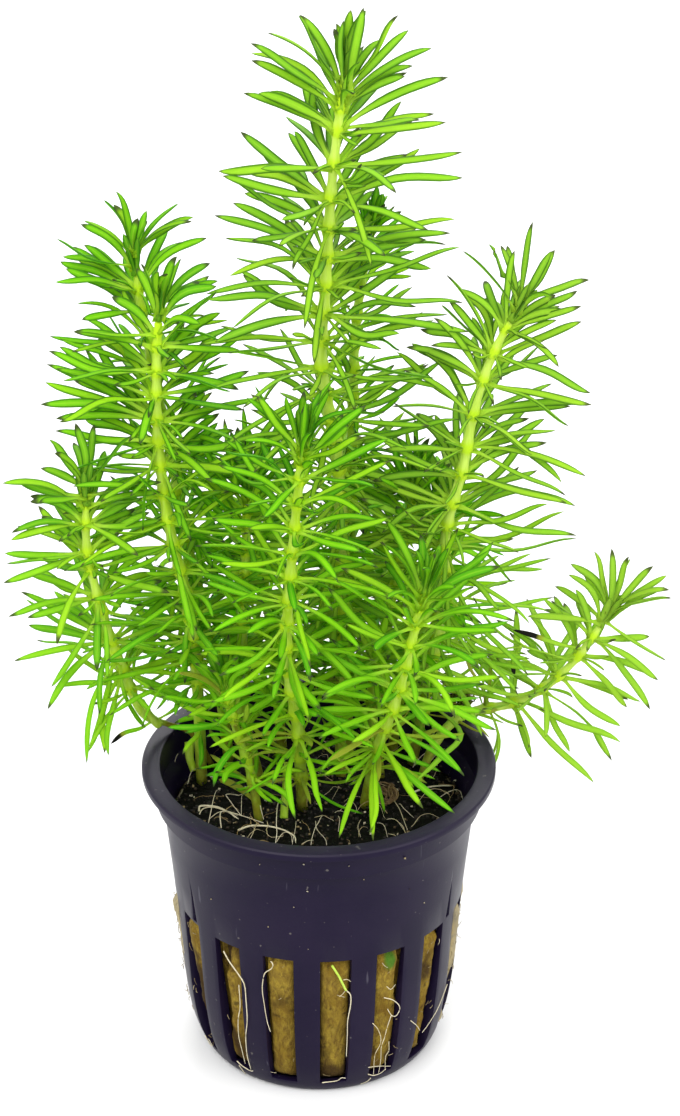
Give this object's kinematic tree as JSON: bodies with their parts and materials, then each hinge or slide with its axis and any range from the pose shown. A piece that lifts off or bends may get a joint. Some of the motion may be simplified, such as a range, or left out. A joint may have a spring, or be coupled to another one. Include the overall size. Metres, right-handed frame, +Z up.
{
  "type": "potted pogostemon erectus",
  "caption": "Bunch of needle-leaved aquarium shoots rooted in a plug of rock wool, in a round slotted net pot.",
  "frame": {"origin": "centre of the pot's base, on the surface it stands on", "axes": "+Z up along the pot's axis, -Y the front of the picture, +X to its right"},
  "size_m": [0.1029, 0.0605, 0.1684],
  "materials": {
    "dark_plastic": "satin moulded",
    "mineral_wool": "fibrous, damp",
    "leaf_green": "soft satin leaf",
    "pale_root": "matte root",
    "moss_green": "matte moss"
  },
  "bodies": {
    "root": {"net_pot": "dark_plastic", "rock_wool": "mineral_wool", "shoot_tall": "leaf_green", "shoot_tall_back": "leaf_green", "shoot_centre": "leaf_green", "shoot_left": "leaf_green", "shoot_left_back": "leaf_green", "shoot_far_left": "leaf_green", "shoot_low_left": "leaf_green", "shoot_mid_left": "leaf_green", "shoot_back_left": "leaf_green", "shoot_right": "leaf_green", "shoot_right_front": "leaf_green", "shoot_mid_right": "leaf_green", "shoot_back_right": "leaf_green", "shoot_far_right": "leaf_green", "root_front": "pale_root", "root_left": "pale_root", "root_right": "pale_root", "moss_clump": "moss_green"}
  },
  "joints": []
}
